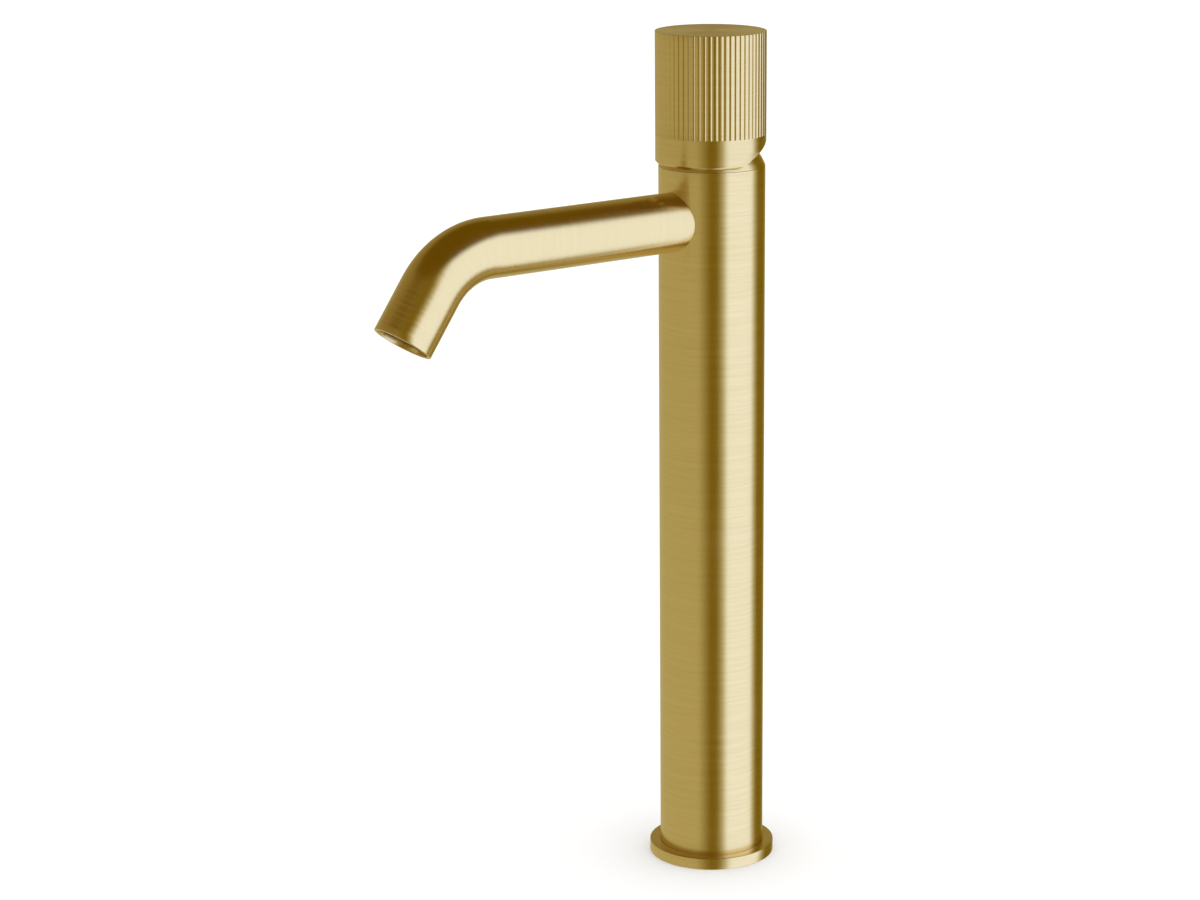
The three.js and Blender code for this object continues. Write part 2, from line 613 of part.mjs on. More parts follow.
function addKnob() {
  const centre = -knob.forward;
  const bore = knobRadius - knob.wall;
  const boreBottom = pivotZ + Math.sqrt(cavityRadius ** 2 - bore ** 2);
  const grubZ = knobBottom + grub.rise;
  const screwHole = (radius) => rodY(radius, 0, knobRadius + 2 * past, grubZ);
  const body = turned([
    [0, knobBottom], [knobRadius - knob.chamfer, knobBottom], [knobRadius, knobBottom + knob.chamfer],
    [knobRadius, knobTop], [0, knobTop],
  ], 2 * flutes.count).translate(0, centre, 0);
  const grooves = Array.from({ length: flutes.count }, (_, i) => {
    const vee = new THREE.Shape([
      new THREE.Vector2(knobRadius - flutes.depth, 0),
      new THREE.Vector2(knobRadius + flutes.depth, -flutes.width),
      new THREE.Vector2(knobRadius + flutes.depth, flutes.width),
    ]);
    const prism = new THREE.ExtrudeGeometry(vee, { depth: flutes.length + past, bevelEnabled: false });
    const angle = ((i + 0.5) / flutes.count) * 2 * Math.PI + flutes.turn;
    return prism.rotateZ(angle).translate(0, centre, knobTop - flutes.length);
  });
  const shaft = rod(bore, boreBottom - 2 * past, knobTop - knob.roof, 0, centre, 48);
  add('control_knob', cut(body, domeSpace(), underCut(), shaft,
    screwHole(insert.holeRadius + fit), ...grooves), brushedBrass);

  const half = stem.head / 2 + seat;
  const filler = rod(bore - fit, boreBottom - past, headStart + insert.above, 0, centre, 32);
  add('knob_insert', cut(filler, domeSpace(fit), underCut(fit),
    block([-half, -half, 0], [half, half, headTop + past]),
    screwHole(insert.holeRadius)), greyPlastic);

  add('knob_grub_screw', rodY(grub.radius, half, half + grub.length, grubZ, 12), stainless);
  const plugEnd = centre + knobRadius - flutes.depth - seat;
  const cap = rodY(insert.holeRadius - seat, plugEnd - grub.plugLength, plugEnd, grubZ);
  add('grub_hole_plug', cap, brushedBrass);
}

function addDome() {
  const skirt = columnBore - fit;
  const skirtInner = skirt - dome.wall;
  const innerRadius = domeRadius - dome.wall;
  add('dome_cap', turned([
    [skirtInner, nutTop + fit], [skirt, nutTop + fit], [skirt, seamZ],
    ...arc(domeRadius, Math.asin(column.radius / domeRadius), openingAngle),
    ...arc(innerRadius, openingAngle, Math.asin(skirtInner / innerRadius), 2),
  ], 48), brushedBrass);
}

// ---------------------------------------------------------------- assembly

addFoot();
addBasePlug();
addClampPlate();
addRisers();
addValveBody();
addSpout();
addAerator();
addCartridgeShell();
addDiscs();
addRotor();
addStem();
addKnob();
addDome();

export default mixer;
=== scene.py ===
"""The looks of a tall single-lever basin mixer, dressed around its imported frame.

The column, flange, dome, knob, spout and mouth get fine meshes at the frame's own sizes; the
valve works inside keep their solids and get finishes. Metres, +Z up, spout towards -Y.
"""
import json
import logging
import math
from collections.abc import Callable, Sequence
from dataclasses import dataclass, field
from enum import Enum
from typing import Any

import bmesh
import bpy
from mathutils import Matrix, Vector


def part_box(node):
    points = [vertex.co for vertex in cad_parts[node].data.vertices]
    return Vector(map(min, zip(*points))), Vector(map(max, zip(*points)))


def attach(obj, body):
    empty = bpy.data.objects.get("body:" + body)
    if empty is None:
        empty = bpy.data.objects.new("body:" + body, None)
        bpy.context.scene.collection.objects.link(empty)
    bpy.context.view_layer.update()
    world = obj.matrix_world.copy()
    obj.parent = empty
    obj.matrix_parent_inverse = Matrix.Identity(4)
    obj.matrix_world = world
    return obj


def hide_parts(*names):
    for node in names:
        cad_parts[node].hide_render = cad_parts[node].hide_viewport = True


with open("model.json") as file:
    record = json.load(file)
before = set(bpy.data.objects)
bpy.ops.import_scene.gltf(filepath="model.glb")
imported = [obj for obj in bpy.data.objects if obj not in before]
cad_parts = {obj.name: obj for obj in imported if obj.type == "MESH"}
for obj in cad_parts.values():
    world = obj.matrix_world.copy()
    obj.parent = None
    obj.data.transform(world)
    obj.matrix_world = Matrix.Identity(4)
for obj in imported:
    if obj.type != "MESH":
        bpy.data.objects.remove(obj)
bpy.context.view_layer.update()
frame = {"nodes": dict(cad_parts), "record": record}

LOG = logging.getLogger("mixer")
MM = 0.001
Point = tuple[float, float]


# ------------------------------------------------------------------ shader graph


class Graph:
    """One node tree, with a single method that adds nodes to it."""

    def __init__(self, tree: bpy.types.NodeTree) -> None:
        """Wraps an emptied node tree.

        Args:
            tree: The tree of a material or a world.
        """
        self.tree = tree
        tree.nodes.clear()

    def node(self, kind: str, settings: dict[str, Any] | None = None,
             sockets: dict[str | int, Any] | None = None) -> bpy.types.Node:
        """Adds a node, its settings first and then its sockets.

        Args:
            kind: Blender's node type.
            settings: Properties of the node; "stops" fills a colour ramp.
            sockets: Values, wires or sockets by input name, identifier or index.

        Returns:
            The new node.
        """
        made = self.tree.nodes.new(kind)
        for name, value in (settings or {}).items():
            if name == "stops":
                self._fill_ramp(made.color_ramp, value)
            else:
                setattr(made, name, value)
        for key, value in (sockets or {}).items():
            target = self._input(made, key)
            if isinstance(value, Wire):
                self.tree.links.new(value.socket, target)
            elif isinstance(value, bpy.types.NodeSocket):
                self.tree.links.new(value, target)
            else:
                target.default_value = value
        return made

    def wire(self, node: bpy.types.Node, output: str | int = 0) -> "Wire":
        """Returns one output of a node as a wire, by name, identifier or index."""
        if isinstance(output, int):
            return Wire(self, node.outputs[output])
        named = [socket for socket in node.outputs if output in (socket.identifier, socket.name)]
        return Wire(self, named[0])

    def stretch(self, vector: "Wire", scale: Sequence[float]) -> "Wire":
        """Multiplies a vector by a scale along each axis."""
        return self.wire(self.node("ShaderNodeVectorMath", {"operation": "MULTIPLY"}, {0: vector, 1: scale}))

    def noise(self, vector: "Wire", scale: float = 1.0, detail: float = 2.0,
              roughness: float = 0.5) -> "Wire":
        """Adds a noise of 0 to 1 over a vector."""
        made = self.node("ShaderNodeTexNoise", None,
                         {"Vector": vector, "Scale": scale, "Detail": detail, "Roughness": roughness})
        return self.wire(made)

    def blend(self, factor: "Wire", low: Any, high: Any) -> "Wire":
        """Mixes two colours by a factor."""
        made = self.node("ShaderNodeMix", {"data_type": "RGBA"},
                         {"Factor_Float": factor, "A_Color": low, "B_Color": high})
        return self.wire(made, "Result_Color")

    @staticmethod
    def _input(node: bpy.types.Node, key: str | int) -> bpy.types.NodeSocket:
        """Finds an input by index, identifier or name."""
        if isinstance(key, int):
            return node.inputs[key]
        for socket in node.inputs:
            if key in (socket.identifier, socket.name):
                return socket
        raise KeyError(f"{node.bl_idname} has no input {key}")

    @staticmethod
    def _fill_ramp(ramp: bpy.types.ColorRamp, stops: Sequence[tuple[float, Sequence[float]]]) -> None:
        """Replaces a ramp's stops by (position, colour) pairs."""
        while len(ramp.elements) > 1:
            ramp.elements.remove(ramp.elements[-1])
        ramp.elements[0].position = stops[0][0]
        ramp.elements[0].color = (*stops[0][1], 1.0)
        for position, colour in stops[1:]:
            ramp.elements.new(position).color = (*colour, 1.0)


class Wire:
    """A value socket that takes part in Python arithmetic."""

    def __init__(self, graph: Graph, socket: bpy.types.NodeSocket) -> None:
        """Wraps an output socket of a graph."""
        self.graph = graph
        self.socket = socket

    def _math(self, operation: str, *values: Any) -> "Wire":
        """Adds a Math node over values or wires."""
        made = self.graph.node("ShaderNodeMath", {"operation": operation}, dict(enumerate(values)))
        return self.graph.wire(made)

    def __add__(self, other: Any) -> "Wire":
        """Adds."""
        return self._math("ADD", self, other)

    def __radd__(self, other: Any) -> "Wire":
        """Adds, reflected."""
        return self._math("ADD", other, self)

    def __sub__(self, other: Any) -> "Wire":
        """Subtracts."""
        return self._math("SUBTRACT", self, other)

    def __rsub__(self, other: Any) -> "Wire":
        """Subtracts, reflected."""
        return self._math("SUBTRACT", other, self)

    def __mul__(self, other: Any) -> "Wire":
        """Multiplies."""
        return self._math("MULTIPLY", self, other)

    def __rmul__(self, other: Any) -> "Wire":
        """Multiplies, reflected."""
        return self._math("MULTIPLY", other, self)

    def ramp(self, low: float, high: float) -> "Wire":
        """Maps low to 0 and high to 1 with a smooth step."""
        made = self.graph.node("ShaderNodeMapRange", {"interpolation_type": "SMOOTHSTEP"},
                               {"Value": self, "From Min": low, "From Max": high})
        return self.graph.wire(made)

    def angle_of(self, other: "Wire") -> "Wire":
        """The angle whose tangent is this over another, from -pi to pi."""
        return self._math("ARCTAN2", self, other)


# ------------------------------------------------------------------ finishes


def principled(graph: Graph, **sockets: Any) -> None:
    """Adds the surface shader and the output.

    Args:
        graph: The material's graph.
        **sockets: Input names with underscores for spaces, and their values or wires.
    """
    named = {name.replace("_", " "): value for name, value in sockets.items()}
    shader = graph.node("ShaderNodeBsdfPrincipled", None, named)
    graph.node("ShaderNodeOutputMaterial", None, {"Surface": shader.outputs[0]})


@dataclass(frozen=True)
class Finish:
    """A material with a name; each kind paints its own graph."""

    name: str
    slot: str

    def paint(self, graph: Graph) -> None:
        """Fills the graph. Each kind of finish has its own way."""
        raise NotImplementedError

    def material(self) -> bpy.types.Material:
        """Returns the finish's material, made once."""
        known = bpy.data.materials.get(f"{self.name}_finish")
        if known is not None:
            return known
        made = bpy.data.materials.new(f"{self.name}_finish")
        made.use_nodes = True
        self.paint(Graph(made.node_tree))
        return made


@dataclass(frozen=True)
class BrushedMetal(Finish):
    """Metal brushed round its axis: long fine scratches, faint bands and a few dull patches."""

    light: tuple[float, float, float] = (0.898, 0.726, 0.388)
    dark: tuple[float, float, float] = (0.818, 0.652, 0.327)
    roughness: float = 0.23
    scratch: float = 0.08
    stretch: float = 0.6
    relief: float = 0.5
    relief_depth: float = 0.1 * MM
    hair_scale: tuple[float, float, float] = (70, 70, 5200)
    line_scale: tuple[float, float, float] = (34, 34, 950)
    band_scale: tuple[float, float, float] = (11, 11, 240)
    patch_scale: float = 38
    weights: tuple[float, float, float] = (0.4, 0.45, 0.15)
    contrast: float = 1.5
    cloud: float = 0.2
    dullness: float = 0.05

    def paint(self, graph: Graph) -> None:
        """Paints the brushing from the grain: along it the noise is long, across it fine."""
        marks = graph.wire(graph.node("ShaderNodeAttribute", {"attribute_name": "grain"}), "Vector")
        hair = graph.noise(graph.stretch(marks, self.hair_scale), detail=3, roughness=0.6)
        line = graph.noise(graph.stretch(marks, self.line_scale), detail=2)
        band = graph.noise(graph.stretch(marks, self.band_scale), detail=2)
        patch = graph.noise(marks, scale=self.patch_scale, detail=3)
        mark = hair * self.weights[0] + line * self.weights[1] + band * self.weights[2]
        tone = (mark - 0.5) * self.contrast + (patch - 0.5) * self.cloud + 0.5
        colour = graph.blend(tone.ramp(0.2, 0.8), (*self.dark, 1.0), (*self.light, 1.0))
        dull = (patch.ramp(0.35, 0.75) - 0.5) * self.dullness
        rough = (mark - 0.5) * (2 * self.scratch) + dull + self.roughness
        height = hair * 0.1 + line * 0.9
        bump = graph.node("ShaderNodeBump", None,
                          {"Strength": self.relief, "Distance": self.relief_depth, "Height": height})
        principled(graph, Base_Color=colour, Metallic=1.0, Roughness=rough, Normal=bump.outputs[0],
                   Anisotropic=self.stretch, Anisotropic_Rotation=0.25)


@dataclass(frozen=True)
class PlainMetal(Finish):
    """Cast, drawn or turned metal with fine grain and uneven tarnish."""

    clean: tuple[float, float, float] = (0.7, 0.5, 0.2)
    dull: tuple[float, float, float] = (0.5, 0.36, 0.15)
    roughness: float = 0.35
    pattern: float = 600.0

    def paint(self, graph: Graph) -> None:
        """Paints tarnish patches under a fine grain."""
        place = graph.wire(graph.node("ShaderNodeTexCoord"), "Object")
        patch = graph.noise(place, scale=70, detail=4)
        fine = graph.noise(graph.stretch(place, (1, 1, 3)), scale=self.pattern, detail=2)
        colour = graph.blend(patch.ramp(0.3, 0.75), (*self.clean, 1.0), (*self.dull, 1.0))
        bump = graph.node("ShaderNodeBump", None, {"Strength": 0.2, "Distance": 0.03 * MM, "Height": fine})
        principled(graph, Base_Color=colour, Metallic=1.0,
                   Roughness=fine * 0.15 + patch * 0.15 + (self.roughness - 0.15), Normal=bump.outputs[0])


@dataclass(frozen=True)
class Moulded(Finish):
    """Moulded plastic, rubber or lapped ceramic."""

    colour: tuple[float, float, float] = (0.5, 0.5, 0.5)
    roughness: float = 0.5
    texture: float = 900.0
    depth: float = 0.02 * MM
    gloss: float = 0.5

    def paint(self, graph: Graph) -> None:
        """Paints a faint mottled colour over a fine moulded texture."""
        place = graph.wire(graph.node("ShaderNodeTexCoord"), "Object")
        cloud = graph.noise(place, scale=90, detail=3)
        fine = graph.noise(place, scale=self.texture, detail=2)
        deep = tuple(channel * 0.86 for channel in self.colour)
        colour = graph.blend(cloud.ramp(0.3, 0.7), (*deep, 1.0), (*self.colour, 1.0))
        bump = graph.node("ShaderNodeBump", None, {"Strength": 0.3, "Distance": self.depth, "Height": fine})
        principled(graph, Base_Color=colour, Roughness=(cloud - 0.5) * 0.2 + self.roughness,
                   Normal=bump.outputs[0], Specular_IOR_Level=self.gloss)


GOLD = BrushedMetal("brushed_gold", "brushed_gold")
GOLD_TUBE = BrushedMetal("brushed_gold_tube", "brushed_gold", stretch=0.0, roughness=0.22, scratch=0.04,
                         light=(0.875, 0.703, 0.366), dark=(0.845, 0.677, 0.349))
# Painted shade: the knob's gold is a darker copy of the brushed gold. It makes the whole knob a little
# darker, standing in for the shade that falls between its reeds.
GOLD_REEDS_PAINTED_SHADE = BrushedMetal("brushed_gold_reeds_painted_shade", "brushed_gold",
                         light=(0.865, 0.695, 0.36), dark=(0.81, 0.645, 0.322))
GOLD_LIP = BrushedMetal("brushed_gold_plain", "brushed_gold", stretch=0.0, roughness=0.3)
BRASS = PlainMetal("machined_brass", "machined_brass", clean=(0.76, 0.55, 0.22), dull=(0.52, 0.36, 0.14))
COPPER = PlainMetal("copper_tube", "copper_tube", clean=(0.78, 0.39, 0.22), dull=(0.45, 0.22, 0.13),
                    roughness=0.3)
STEEL = PlainMetal("stainless", "stainless", clean=(0.62, 0.62, 0.63), dull=(0.45, 0.45, 0.46),
                   roughness=0.25)
RUBBER = Moulded("black_rubber", "black_rubber", colour=(0.018, 0.018, 0.019), roughness=0.62)
WHITE = Moulded("white_plastic", "white_plastic", colour=(0.78, 0.77, 0.72), roughness=0.42)
GREY = Moulded("grey_plastic", "grey_plastic", colour=(0.13, 0.135, 0.14), roughness=0.45)
RED = Moulded("red_plastic", "red_plastic", colour=(0.46, 0.05, 0.03), roughness=0.42)
CERAMIC = Moulded("alumina_ceramic", "alumina_ceramic", colour=(0.84, 0.82, 0.77), roughness=0.18,
                  depth=0.002 * MM)
INSIDE = {finish.slot: finish for finish in (BRASS, COPPER, STEEL, RUBBER, WHITE, GREY, RED, CERAMIC)}


# ------------------------------------------------------------------ mesh building


@dataclass(frozen=True)
class Corner:
    """A corner of a turned outline, in metres.

    Attributes:
        radius: Distance from the axis.
        height: Height along the axis.
        round: Radius of the fillet at this corner.
        relief: How much of the outline's relief, such as flutes, shows here, from 0 to 1.
    """

    radius: float
    height: float
    round: float = 0.0
    relief: float = 0.0


def filleted(corners: Sequence[Corner], steps: int = 4) -> list[Corner]:
    """Rounds each corner of a closed outline that asks for it.

    Args:
        corners: The outline, in order.
        steps: Segments in each fillet.

    Returns:
        The outline with an arc in place of each rounded corner.
    """
    result: list[Corner] = []
    count = len(corners)
    for index, corner in enumerate(corners):
        here = Vector((corner.radius, corner.height))
        before = Vector((corners[index - 1].radius, corners[index - 1].height)) - here
        after = Vector((corners[(index + 1) % count].radius, corners[(index + 1) % count].height)) - here
        if corner.round <= 0 or min(before.length, after.length) < 1e-7:
            result.append(corner)
            continue
        turn = before.angle(after)
        reach = min(corner.round / math.tan(turn / 2), 0.45 * before.length, 0.45 * after.length)
        start, end = here + before.normalized() * reach, here + after.normalized() * reach
        for step in range(steps + 1):
            t = step / steps
            point = start * (1 - t) ** 2 + here * (2 * t * (1 - t)) + end * t ** 2
            result.append(Corner(point.x, point.y, 0.0, corner.relief))
    return result


def sphere_arc(radius: float, centre: float, start: float, end: float, steps: int = 20) -> list[Corner]:
    """Points of a sphere's arc, by angle from straight up.

    Args:
        radius: Radius of the sphere.
        centre: Height of its centre.
        start: First angle, in radians.
        end: Last angle, in radians.
        steps: Segments of the arc.

    Returns:
        The arc's corners in order.
    """
    angles = [start + (end - start) * step / steps for step in range(steps + 1)]
    return [Corner(radius * math.sin(angle), centre + radius * math.cos(angle)) for angle in angles]


class Shell:
    """A mesh in the making that keeps the grain of its surface."""

    def __init__(self) -> None:
        """Starts an empty mesh with a grain layer."""
        self.mesh = bmesh.new()
        self.grain = self.mesh.verts.layers.float_vector.new("grain")

    def vertex(self, place: Sequence[float], grain: Sequence[float]) -> bmesh.types.BMVert:
        """Adds a vertex at a place, with its grain."""
        made = self.mesh.verts.new(place)
        made[self.grain] = Vector(grain)
        return made

    def grid(self, rows: Sequence[Sequence[bmesh.types.BMVert]], closed: bool = True) -> None:
        """Joins rows of vertices that each run once round.

        Args:
            rows: Rows of equal length.
            closed: Whether the last row joins the first.
        """
        count = len(rows)
        for index in range(count if closed else count - 1):
            low, high = rows[index], rows[(index + 1) % count]
            for side in range(len(low)):
                other = (side + 1) % len(low)
                corners = [low[side], low[other], high[other], high[side]]
                distinct = list(dict.fromkeys(corners))
                if len(distinct) > 2:
                    self.mesh.faces.new(distinct)

    def turn(self, outline: Sequence[Corner], angles: Sequence[float], centre: Point = (0.0, 0.0),
             relief: Callable[[float], float] | None = None) -> None:
        """Turns a closed outline about an upright axis.

        Args:
            outline: Corners in order; one at radius 0 becomes a pole.
            angles: Angles of the columns of vertices.
            centre: Where the axis stands.
            relief: Depth of the relief at an angle, cut where the outline asks for it.
        """
        rows, travel, last = [], 0.0, None
        for corner in outline:
            here = Vector((corner.radius, corner.height))
            travel += 0.0 if last is None else (here - last).length
            last = here
            if corner.radius <= 1e-9:
                pole = self.vertex((*centre, corner.height), (0, 0, travel))
                rows.append([pole] * len(angles))
                continue
            row = []
            for angle in angles:
                cut = relief(angle) * corner.relief if relief and corner.relief else 0.0
                radius = corner.radius - cut
                x, y = radius * math.cos(angle), radius * math.sin(angle)
                row.append(self.vertex((centre[0] + x, centre[1] + y, corner.height), (x, y, travel)))
            rows.append(row)
        self.grid(rows)

    def piece(self, name: str, finish: Finish, sharp: float = 32.0) -> bpy.types.Object:
        """Closes the mesh into an object.

        Args:
            name: The object's name.
            finish: Its material.
            sharp: Edges that turn by more degrees than this stay crisp.

        Returns:
            The finished object, linked to the scene.
        """
        bmesh.ops.remove_doubles(self.mesh, verts=self.mesh.verts, dist=1e-7)
        bmesh.ops.recalc_face_normals(self.mesh, faces=self.mesh.faces)
        data = bpy.data.meshes.new(name)
        self.mesh.to_mesh(data)
        self.mesh.free()
        for face in data.polygons:
            face.use_smooth = True
        data.set_sharp_from_angle(angle=math.radians(sharp))
        data.materials.append(finish.material())
        made = bpy.data.objects.new(name, data)
        bpy.context.scene.collection.objects.link(made)
        return made


def around(count: int) -> list[float]:
    """Evenly spaced angles once round."""
    return [2 * math.pi * step / count for step in range(count)]


class Body(Enum):
    """The bodies that the fine meshes ride on."""

    FIXED = "mixer_body"
    LEVER = "lever"


def install(piece: bpy.types.Object, body: Body, finish: Finish, *nodes: str) -> None:
    """Rides a piece on its body and lets it stand for its nodes.

    Args:
        piece: The new piece.
        body: The body it moves with.
        finish: Not used.
        *nodes: The frame's nodes that it replaces.
    """
    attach(piece, body.value)
    if nodes:
        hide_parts(*nodes)
    LOG.info("%s: %d faces on %s", piece.name, len(piece.data.polygons), body.value)


def radius_of(node: str) -> float:
    """Half a round node's width."""
    low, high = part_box(node)
    return (high[0] - low[0]) / 2


PIVOT = next(joint for joint in frame["record"]["behaviour"]["joints"] if joint["name"] == "flow_tilt")
PIVOT_HEIGHT = PIVOT["pos_m"][2]
TILT = math.radians(PIVOT["range_deg"][1])
SEAM_GAP = 0.2 * MM


def dome_ball() -> tuple[float, float]:
    """Height of the seam under the dome, and the radius of the dome's sphere about the pivot."""
    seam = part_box("body_column")[1][2] + SEAM_GAP
    return seam, math.hypot(radius_of("dome_cap"), seam - PIVOT_HEIGHT)


# ------------------------------------------------------------------ column and flange


@dataclass
class Column:
    """The tall tube and the flange ring at its foot."""

    wall: float = 2.5 * MM
    edge: float = 0.12 * MM
    segments: int = 192
    rows: int = 60
    seat: float = 0.1 * MM
    flange_edge: float = 0.35 * MM
    foot_edge: float = 0.15 * MM
    groove: Point = (23.7 * MM, 25.9 * MM)
    groove_depth: float = 1.8 * MM
    radius: float = field(default_factory=lambda: radius_of("body_column"))

    def build(self) -> None:
        """Builds both pieces."""
        self.tube()
        self.flange()

    def tube(self) -> None:
        """Builds the plain tube with crisp ends."""
        low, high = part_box("body_column")
        top = high[2] + self.seat
        inner = self.radius - self.wall
        outline = [Corner(inner, low[2], self.edge)]
        outline.append(Corner(self.radius, low[2], self.edge))
        step = (top - low[2]) / self.rows
        outline += [Corner(self.radius, low[2] + step * row) for row in range(1, self.rows)]
        outline += [Corner(self.radius, top, self.edge), Corner(inner, top, self.edge)]
        shell = Shell()
        shell.turn(filleted(outline), around(self.segments))
        install(shell.piece("column_tube", GOLD), Body.FIXED, GOLD, "body_column")

    def flange(self) -> None:
        """Builds the flange ring with its softened rim and the groove under it."""
        low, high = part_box("base_flange")
        outer, bore = radius_of("base_flange"), self.radius + self.seat
        inside, outside = self.groove
        ceiling = low[2] + self.groove_depth
        outline = [
            Corner(bore, low[2]), Corner(inside, low[2]), Corner(inside, ceiling), Corner(outside, ceiling),
            Corner(outside, low[2]), Corner(outer, low[2], self.foot_edge),
            Corner(outer, high[2], self.flange_edge),
            Corner(bore, high[2], self.edge),
        ]
        shell = Shell()
        shell.turn(filleted(outline), around(self.segments))
        install(shell.piece("flange_ring", GOLD), Body.FIXED, GOLD, "base_flange")


# ------------------------------------------------------------------ dome


@dataclass
class Dome:
    """The ball-shaped collar that the knob tips over."""

    wall: float = 2.0 * MM
    skirt: float = 19.7 * MM
    edge: float = 0.1 * MM
    segments: int = 192

    def build(self) -> None:
        """Builds the collar from the pivot and the seam."""
        low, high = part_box("dome_cap")
        rim = radius_of("dome_cap")
        seam, radius = dome_ball()
        inner = radius - self.wall
        opening = math.acos((high[2] - PIVOT_HEIGHT) / radius)
        skirt_inner = self.skirt - self.wall
        outline = [Corner(skirt_inner, low[2]), Corner(self.skirt, low[2]), Corner(self.skirt, seam)]
        outline += [Corner(rim, seam, self.edge)]
        outline += sphere_arc(radius, PIVOT_HEIGHT, math.asin(rim / radius) - 0.01, opening)
        outline += sphere_arc(inner, PIVOT_HEIGHT, opening, math.asin(skirt_inner / inner), 8)
        shell = Shell()
        shell.turn(filleted(outline), around(self.segments))
        install(shell.piece("dome_collar", GOLD), Body.FIXED, GOLD, "dome_cap")


# ------------------------------------------------------------------ knob


@dataclass
class Knob:
    """The reeded control knob, hollow below and cut away at the back so that it can tip."""

    reeds: int = 60
    reed_slope: float = math.radians(41)
    reed_crown: float = 2.4
    reed_length: float = 43 * MM
    reed_turn: float = math.radians(1.8)
    forward: float = 0.6 * MM
    wall: float = 2.5 * MM
    roof: float = 3.5 * MM
    chamfer: float = 0.8 * MM
    top_edge: float = 0.12 * MM
    clearance: float = 0.25 * MM
    closing_gap: float = 1.8 * MM
    hole: float = 2.9 * MM
    hole_length: float = 30 * MM
    rim_edge: float = 0.2 * MM
    shoulder_edge: float = 0.4 * MM
    shade_row: float = 0.2 * MM
    reed_step: float = 0.02 * MM
    radius: float = field(default_factory=lambda: radius_of("control_knob"))

    def groove(self, angle: float) -> float:
        """Depth below the crests at an angle: flat-crowned reeds that meet in sharp valleys."""
        pitch = 2 * math.pi / self.reeds
        half = pitch * self.radius / 2
        offset = abs(((angle - self.reed_turn) / pitch + 0.5) % 1 - 0.5) * 2
        return half * math.tan(self.reed_slope) * offset ** (self.reed_crown + 1) / (self.reed_crown + 1)

    def columns(self) -> list[float]:
        """Angles of the mesh's columns: a valley and twelve more for each reed."""
        pitch = 2 * math.pi / self.reeds
        places = [-0.5, -0.47, -0.43, -0.38, -0.3, -0.2, -0.07, 0.07, 0.2, 0.3, 0.38, 0.43, 0.47]
        return [self.reed_turn + pitch * (reed + place) for reed in range(self.reeds) for place in places]

    def build(self) -> None:
        """Builds the knob, cuts its underside and hollows it."""
        low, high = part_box("control_knob")
        bottom, top = low[2], high[2]
        end = top - self.reed_length
        outer = [
            Corner(self.radius - self.chamfer, bottom, self.rim_edge),
            Corner(self.radius, bottom + self.chamfer, self.shoulder_edge),
            Corner(self.radius, (bottom + end) / 2), Corner(self.radius, end - self.shade_row),
            Corner(self.radius, end), Corner(self.radius, end + self.reed_step, 0, 1.0),
        ]
        outer += [Corner(self.radius, end + (top - end) * part / 8, 0, 1.0) for part in range(1, 8)]
        outer += [Corner(self.radius, top, self.top_edge, 1.0)]
        cap = [Corner(self.radius * part, top) for part in (0.96, 0.8, 0.5, 0.2)]
        outline = [Corner(0, bottom)] + filleted(outer + cap) + [Corner(0, top)]
        shell = Shell()
        shell.turn(outline, self.columns(), (0, -self.forward), self.groove)
        # The knob wears the darker gold: painted shade for the shade between its reeds.
        knob = shell.piece("reeded_knob", GOLD_REEDS_PAINTED_SHADE)
        for cutter in self.cutters(bottom, top):
            self.carve(knob, cutter)
        knob.data.set_sharp_from_angle(angle=math.radians(32))
        install(knob, Body.LEVER, GOLD, "control_knob")

    def cutters(self, bottom: float, top: float) -> list[bpy.types.Object]:
        """Makes the solids that are cut out of the knob.

        Args:
            bottom: Height of the knob's lower edge.
            top: Height of its top face.

        Returns:
            The hollow, the slab under the slanted underside and the screw's hole.
        """
        seam, dome = dome_ball()
        ball = dome + self.clearance
        bore = self.radius - self.wall
        hollow = Shell()
        arc = sphere_arc(ball, PIVOT_HEIGHT, math.pi * 0.999, 0.001, 72)[1:-1]
        poles = Corner(0, PIVOT_HEIGHT - ball), Corner(0, PIVOT_HEIGHT + ball)
        hollow.turn([poles[0]] + arc + [poles[1]], around(160))
        shaft = Shell()
        start = PIVOT_HEIGHT + math.sqrt(ball ** 2 - bore ** 2) - 2 * MM
        end = top - self.roof
        shaft.turn([Corner(0, start), Corner(bore, start), Corner(bore, end), Corner(0, end)],
                   around(96), (0, -self.forward))
        slab = Shell()
        side, rise = 2 * self.radius, seam + self.closing_gap - PIVOT_HEIGHT
        made = bmesh.ops.create_cube(slab.mesh, size=2 * side)
        tilt = Matrix.Translation((0, 0, PIVOT_HEIGHT)) @ Matrix.Rotation(TILT, 4, "X")
        lowered = tilt @ Matrix.Translation((0, 0, rise - side))
        bmesh.ops.transform(slab.mesh, matrix=lowered, verts=made["verts"])
        hole = Shell()
        plug_low, plug_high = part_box("grub_hole_plug")
        height = (plug_low[2] + plug_high[2]) / 2
        hole.turn([Corner(0, 0), Corner(self.hole, 0), Corner(self.hole, self.hole_length),
                   Corner(0, self.hole_length)], around(48))
        bmesh.ops.transform(hole.mesh, verts=hole.mesh.verts,
                            matrix=Matrix.Translation((0, 0, height)) @ Matrix.Rotation(-math.pi / 2, 4, "X"))
        return [made.piece(f"cutter_{index}", GOLD) for index, made in enumerate((hollow, shaft, slab, hole))]

    @staticmethod
    def carve(piece: bpy.types.Object, cutter: bpy.types.Object) -> None:
        """Cuts one object out of another and deletes the cutter."""
        modifier = piece.modifiers.new("cut", "BOOLEAN")
        modifier.operation = "DIFFERENCE"
        modifier.solver = "EXACT"
        modifier.object = cutter
        graph = bpy.context.evaluated_depsgraph_get()
        carved = bpy.data.meshes.new_from_object(piece.evaluated_get(graph))
        piece.modifiers.clear()
        piece.data = carved
        bpy.data.objects.remove(cutter)


